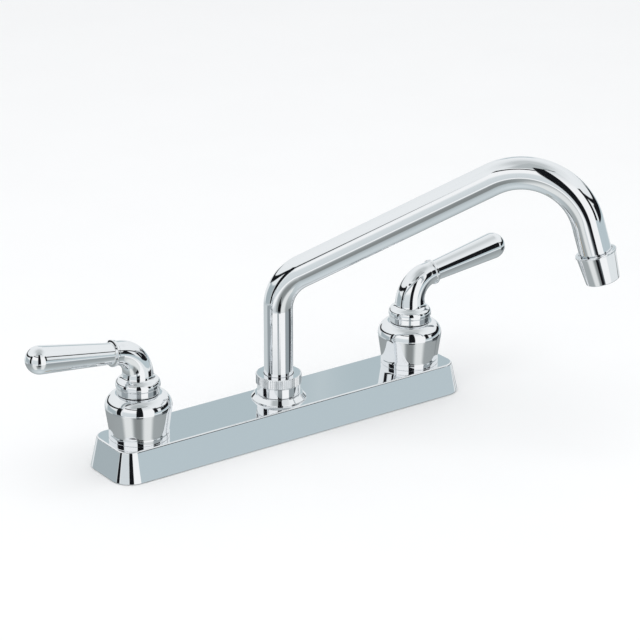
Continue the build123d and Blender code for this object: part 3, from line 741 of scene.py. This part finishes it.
class FAUCET_OT_spout_nut(FaucetPiece, bpy.types.Operator):
    """Knurled coupling nut and the bevelled collar below it"""

    bl_idname = "faucet.spout_nut"
    bl_label = "Spout nut and collar"

    def build(self):
        nut = sizes("nut")
        low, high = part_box("spout_nut")
        bottom, top = low[2] / MM, high[2] / MM
        band = bottom + nut.skirt_height
        outline = closed_outline(
            [
                (nut.bore_radius, nut.bore_top, 0),
                (nut.bore_radius, bottom, 0.1),
                (nut.skirt_radius, bottom, 0.3),
                (nut.skirt_radius, band, 0.15),
                (nut.band_radius, band + 0.3, 0.2),
                (nut.band_radius, top - 0.4, 0.2),
                (nut.band_radius - 0.4, top, 0.2),
                (nut.mouth_radius, top, 0.2),
                (nut.mouth_radius, nut.bore_top, 0.1),
            ],
            steps=4,
        )
        knurls = 72
        columns = knurls * 10
        points = Route(0).carry(filled(outline, 0.5), columns, closed=True)[0]
        grid = points.reshape(-1, columns, 3)
        reach = np.linalg.norm(grid[..., :2], axis=2)
        # each groove is a V that fills nearly its whole share of the way round, and fades out inwards
        phase = np.arange(columns) / columns * knurls % 1
        groove = np.clip(1 - np.abs(phase - 0.5) / 0.48, 0, 1)
        inner = nut.skirt_radius - 0.2
        inside = (grid[..., 2] > band + 0.1) & (reach > inner)
        cut = np.where(inside, nut.knurl_depth * groove, 0) * np.clip((reach - inner) / 0.4, 0, 1)
        grid = np.concatenate([grid[..., :2] * (1 - cut / reach)[..., None], grid[..., 2:]], axis=2)
        skins = [skin(grid, closed=True)]
        piece("knurled_nut", skins, "fixed_parts", finish("chrome"), ["spout_nut"])

        low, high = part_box("spout_collar")
        bottom, top = low[2] / MM, high[2] / MM
        ring = closed_outline(
            [
                (nut.collar_bore, bottom + 1, 0),
                (nut.collar_bore, bottom, 0.1),
                (nut.collar_foot, bottom, 0.2),
                (nut.collar_foot, bottom + 0.6, 0.35),
                (nut.collar_top, top, 0.3),
                (nut.collar_bore, top, 0.1),
            ]
        )
        skins = [Route(0).carry(ring, 128, closed=True)]
        piece("bevelled_collar", skins, "fixed_parts", finish("chrome"), ["spout_collar"])


class FAUCET_OT_shanks(FaucetPiece, bpy.types.Operator):
    """Brass valve bodies with their threaded supply shanks"""

    bl_idname = "faucet.shanks"
    bl_label = "Valve bodies and shanks"

    def build(self):
        columns = 96
        pitch, depth = 25.4 / 14, 0.9
        chamfer, run_out = 0.6, 1.2
        waterway, thread, groove, shank = 6.0, 10.3, 9.6, 10.6
        flange, body, neck, head, chamber = 18.5, 15.5, 13.0, 12.0, 10.0
        groove_low, groove_high, thread_top, flange_low, flange_high = -32.0, -30.5, -12.0, 2.0, 5.0
        chamber_floor, body_top, neck_top, head_top = 6.0, 16.8, 25.0, 31.0
        cut_from, cut_to = 10.2, 10.35  # the radii between which the outline is threaded
        for side, x in HUB_X.items():
            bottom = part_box(f"valve_body_{side}")[0][2] / MM
            outline = closed_outline(
                [
                    (waterway, chamber_floor, 0),
                    (waterway, bottom, 0.3),
                    (thread, bottom, chamfer),
                    (thread, groove_low, 0.2),
                    (groove, groove_low, 0.2),
                    (groove, groove_high, 0.2),
                    (thread, groove_high, 0.2),
                    (thread, thread_top, 0.1),
                    (shank, thread_top, 0.1),
                    (shank, flange_low, 0.3),
                    (flange, flange_low, 0.3),
                    (flange, flange_high, 0.3),
                    (body, flange_high, 0.3),
                    (body, body_top, 0.3),
                    (neck, body_top, 0.3),
                    (neck, neck_top, 0.3),
                    (head, neck_top, 0.1),
                    (head, head_top, 0.3),
                    (chamber, head_top, 0.3),
                    (chamber, chamber_floor, 0.1),
                ],
                steps=3,
            )
            points = Route(x).carry(filled(outline, 0.25), columns, closed=True)[0]
            grid = points.reshape(-1, columns, 3) - (x, 0, 0)
            reach = np.linalg.norm(grid[..., :2], axis=2)
            z = grid[..., 2]
            # the thread is a V that climbs one pitch a turn and runs out at both of its ends
            phase = (z / pitch - np.arange(columns) / columns) % 1
            notch = 1 - np.abs(2 * phase - 1)
            above = np.clip((z - bottom - chamfer) / run_out, 0, 1)
            ends = above * np.clip((thread_top - chamfer - z) / run_out, 0, 1)
            cut = np.where((reach > cut_from) & (reach < cut_to), depth * notch * ends, 0)
            grid = np.concatenate([grid[..., :2] * (1 - cut / reach)[..., None], z[..., None]], axis=2)
            skins = [skin(grid + (x, 0, 0), closed=True)]
            nodes = [f"valve_body_{side}"]
            piece(f"{side}_valve_body", skins, "fixed_parts", finish("brass"), nodes)


class FAUCET_OT_plain_parts(FaucetPiece, bpy.types.Operator):
    """Finishes of the inner parts and fittings, whose CAD shapes are kept"""

    bl_idname = "faucet.plain_parts"
    bl_label = "Inner parts and fittings"

    def build(self):
        slots = {s["node"]: s["material_slot"] for s in frame["record"]["subparts"]}
        for name, obj in frame["nodes"].items():
            obj.data.materials.clear()
            obj.data.materials.append(finish(slots[name]))


# ---- studio -------------------------------------------------------------------------------------

CAMERA_AZIMUTH, CAMERA_ELEVATION = -35.4, 21.5  # degrees, from the front of the sink
CAMERA_DISTANCE = 1.645
CAMERA_AIM = (0.0347, 0.0046, 0.0605)
CAMERA_LENS = 148.33


def studio_world():
    """White for the camera, soft white light for dull surfaces, and for polished ones a studio: a table,
    pale walls, two bright panels beside a dark gap at the camera, dark screens and rims further round on
    both sides, and a grey ceiling over the camera. Every card is given by its angles in degrees."""
    world = bpy.data.worlds.new("studio")
    bpy.context.scene.world = world
    world.use_nodes = True
    tree = world.node_tree
    tree.nodes.clear()

    def maths(operation, *values):
        """One step of arithmetic."""
        return add(tree, "ShaderNodeMath", dict(enumerate(values)), operation=operation).outputs[0]

    def sloping(value, start, end, first, last, blend="LINEAR"):
        """Goes from first at start to last at end, and stays level beyond both."""
        inputs = {"Value": value, "From Min": start, "From Max": end, "To Min": first, "To Max": last}
        return add(tree, "ShaderNodeMapRange", inputs, interpolation_type=blend).outputs["Result"]

    def passing(value, low, high, soft):
        """1 while the value is between low and high, with edges that are soft on both sides of them."""
        after_low = sloping(value, low - soft, low + soft, 0.0, 1.0, "SMOOTHSTEP")
        before_high = sloping(value, high - soft, high + soft, 1.0, 0.0, "SMOOTHSTEP")
        return maths("MULTIPLY", after_low, before_high)

    def over(base, layer, mask):
        """The layer over the base where the mask is 1. A layer can be a hex colour."""
        if isinstance(layer, str):
            layer = (*linear(layer), 1.0)
        inputs = {"Factor": mask, "A": base, "B": layer}
        return add(tree, "ShaderNodeMix", inputs, data_type="RGBA").outputs[2]

    direction = add(tree, "ShaderNodeTexCoord").outputs["Generated"]
    axes = add(tree, "ShaderNodeSeparateXYZ", {"Vector": direction}).outputs
    degrees = 180 / math.pi
    rise = maths("MULTIPLY", maths("ARCSINE", axes["Z"]), degrees)
    share = maths("MULTIPLY_ADD", rise, 1 / 180, 0.5)
    # 0 towards the camera, and positive to its right
    heading = maths("MULTIPLY_ADD", maths("ARCTAN2", axes["X"], axes["Y"]), -degrees, -180 - CAMERA_AZIMUTH)
    beside = maths("WRAP", heading, 180.0, -180.0)

    def bands(stops):
        """A ramp over the elevation from (degrees, hex colour) stops."""
        ramp = add(tree, "ShaderNodeValToRGB", {"Fac": share})
        marks = ramp.color_ramp.elements
        while len(marks) < len(stops):
            marks.new(1.0)
        for mark, (angle, hex_colour) in zip(marks, stops):
            mark.position = (angle + 90) / 180
            mark.color = (*linear(hex_colour), 1.0)
        return ramp.outputs["Color"]

    scene = bands(
        [
            (-90, "#DDE4E7"),  # the table under the faucet
            (-60, "#C0C9CC"),
            (-45, "#AAB0B1"),
            (-25, "#9A9FA0"),
            (-24, "#9AA2A6"),  # the table's far edge
            (-18, "#9AA2A6"),
            (-17, "#E9EDEE"),  # the walls
            (10, "#EFF2F3"),
            (44, "#F4F6F7"),
            (60, "#E9ECED"),
            (75, "#C9CDCE"),  # the ceiling
        ]
    )
    black = "#15171A"
    panel = bands([(-24, "#D6DCDF"), (10, "#DCE2E4"), (20, "#FFFFFF"), (40, "#FFFFFF")])
    bright_panel = bands([(-24, "#FFFFFF"), (30, "#FFFFFF"), (60, "#D9DDDF")])
    gap = bands([(-26, black), (-21, "#9AA3A7"), (-18, "#8A9296"), (-14, black)])
    # dark rims on both sides, which fall away to the back and end a little past their lowest point
    rim_high, rim_low = 35, 7
    for near, far, thick in ((-58, -135, 9), (58, 135, 7)):
        above_rim = maths("SUBTRACT", rise, sloping(beside, near, far, rim_high, rim_low))
        left, right = sorted((near, far * 1.15))
        rim = maths("MULTIPLY", passing(above_rim, -thick, 0, 1), passing(beside, left, right, 1))
        scene = over(scene, black, rim)
    # a layer's colour, its sides, its lower and upper edge and their softness; later ones lie on top
    for layer, left, right, bottom, top, soft in (
        ("#E9EBEA", -56, -20, -62, -24, 9),  # light on the table, left
        ("#E9EBEA", 20, 56, -62, -24, 9),  # and right
        ("#8A8E8E", -14, 14, -50, -27, 8),  # the camera's shade between
        ("#B9BEBF", -40, 50, 50, 91, 12),  # the ceiling over the camera
        ("#CCD3D5", -181, -95, -24, -17, 2),  # the table's lighter edge, back left
        ("#ABB6BA", -124, -76, -17, 4, 3),  # a grey card on the left
        ("#B7C5CA", 171, 181, 15, 28, 2),  # a grey card behind, in two halves
        ("#B7C5CA", -181, -171, 15, 28, 2),
        (black, -74, -57, -17, 34, 1),  # the left screen
        (black, 58, 72, 1, 35, 1),  # the right screen
        ("#BECBD0", 56, 165, -10, 1, 1),  # a long grey card below it
        ("#4C5256", 92, 126, -29, -18, 3),  # shade on the table, far right
        (black, 88, 132, -19, -12.5, 1),  # a dark strip over that shade
        (black, 84, 142, -1, 15, 1),  # a dark screen over the long card
        (panel, -52, -4, -24, 40, 1),  # the left panel
        (black, -54, -4, 39, 45, 1),  # its dark top edge
        (bright_panel, 19, 57, -24, 61, 1),  # the right panel
        (black, 19, 57, 61, 63, 1),  # its dark top edge
        (gap, -4, 19, -33, 61, 1),  # the gap between the panels
        ("#FFFFFF", -45, 50, -22.5, -17, 2),  # the table's near edge
        ("#9AA3A7", -6, 6, -22.5, -17, 2),  # with the camera's shade
    ):
        across = passing(beside, left, right, soft)
        upright = passing(rise, bottom, top, min(soft, 3) / 2)
        scene = over(scene, layer, maths("MULTIPLY", across, upright))
    rays = add(tree, "ShaderNodeLightPath").outputs
    soft_white = (0.86, 0.87, 0.88, 1.0)
    light = over(soft_white, scene, rays["Is Glossy Ray"])
    seen = over(light, "#FFFFFF", rays["Is Camera Ray"])
    background = add(tree, "ShaderNodeBackground", {"Color": seen, "Strength": 1.0}).outputs[0]
    add(tree, "ShaderNodeOutputWorld", {"Surface": background})


class FAUCET_OT_studio(FaucetPiece, bpy.types.Operator):
    """Pale floor, soft light and the camera at the picture's viewing angle"""

    bl_idname = "faucet.studio"
    bl_label = "Studio"

    def build(self):
        scene = bpy.context.scene
        scene.view_settings.view_transform = "Standard"
        studio_world()

        reach = 4.0
        level = -0.0004  # just under the gasket, so that the two faces don't meet
        square = [(x * reach, y * reach, level) for x, y in ((-1, -1), (1, -1), (1, 1), (-1, 1))]
        floor_mesh = bpy.data.meshes.new("studio_floor")
        floor_mesh.from_pydata(square, [], [(0, 1, 2, 3)])
        made, tree, place = new_finish("matt_white_floor")
        tone = spread(tree, grain(tree, place, 80.0), 0.0, 1.0)
        surface(tree, Base_Color=tinted(tree, tone, sizes("colours").floor, 0.99), Roughness=0.9)
        floor_mesh.materials.append(made)
        floor = bpy.data.objects.new("studio_floor", floor_mesh)
        scene.collection.objects.link(floor)
        floor.visible_glossy = False

        lamp = bpy.data.lights.new("overhead_softbox", "AREA")
        lamp.shape = "DISK"
        lamp.size = 1.6
        lamp.energy = 9.0
        softbox = bpy.data.objects.new("overhead_softbox", lamp)
        softbox.location = (-0.3, -0.4, 1.8)
        softbox.rotation_euler = (-softbox.location).to_track_quat("-Z", "Y").to_euler()
        softbox.visible_glossy = False
        scene.collection.objects.link(softbox)

        azimuth, elevation = math.radians(CAMERA_AZIMUTH), math.radians(CAMERA_ELEVATION)
        level_part = math.cos(elevation)
        x, y, z = math.sin(azimuth) * level_part, -math.cos(azimuth) * level_part, math.sin(elevation)
        back = Vector((x, y, z))
        lens = bpy.data.cameras.new("picture_camera")
        lens.lens = CAMERA_LENS
        camera = bpy.data.objects.new("picture_camera", lens)
        camera.matrix_world = Matrix.Translation(Vector(CAMERA_AIM) + back * CAMERA_DISTANCE) @ (
            (-back).to_track_quat("-Z", "Y").to_matrix().to_4x4()
        )
        scene.collection.objects.link(camera)
        scene.camera = camera


OPERATORS = (
    FAUCET_OT_plain_parts,
    FAUCET_OT_deck_plate,
    FAUCET_OT_hubs,
    FAUCET_OT_levers,
    FAUCET_OT_spout,
    FAUCET_OT_aerator,
    FAUCET_OT_spout_nut,
    FAUCET_OT_shanks,
    FAUCET_OT_studio,
)
GROUPS = {
    "plate": FaucetPlateSizes,
    "hub": FaucetHubSizes,
    "lever": FaucetLeverSizes,
    "spout": FaucetSpoutSizes,
    "nut": FaucetNutSizes,
    "colours": FaucetColours,
}


class FAUCET_PT_panel(bpy.types.Panel):
    """Sizes, colours and the build steps"""

    bl_idname = "FAUCET_PT_panel"
    bl_label = "Kitchen faucet"
    bl_space_type = "VIEW_3D"
    bl_region_type = "UI"
    bl_category = "Faucet"

    def draw(self, context):
        for part, group in GROUPS.items():
            box = self.layout.box()
            box.label(text=group.__doc__)
            for name in group.__annotations__:
                box.prop(sizes(part), name)
        for operator in OPERATORS:
            self.layout.operator(operator.bl_idname)


def register():
    """Registers the groups, the operators and the panel."""
    for part, group in GROUPS.items():
        bpy.utils.register_class(group)
        setattr(bpy.types.Scene, f"faucet_{part}", bpy.props.PointerProperty(type=group))
    for made in (*OPERATORS, FAUCET_PT_panel):
        bpy.utils.register_class(made)


def unregister():
    """Takes them away again, in the opposite order."""
    for made in (FAUCET_PT_panel, *reversed(OPERATORS)):
        bpy.utils.unregister_class(made)
    for part, group in reversed(GROUPS.items()):
        delattr(bpy.types.Scene, f"faucet_{part}")
        bpy.utils.unregister_class(group)


def main():
    """Builds everything in order."""
    register()
    for operator in OPERATORS:
        category, name = operator.bl_idname.split(".")
        getattr(getattr(bpy.ops, category), name)()


if __name__ == "__main__":
    main()
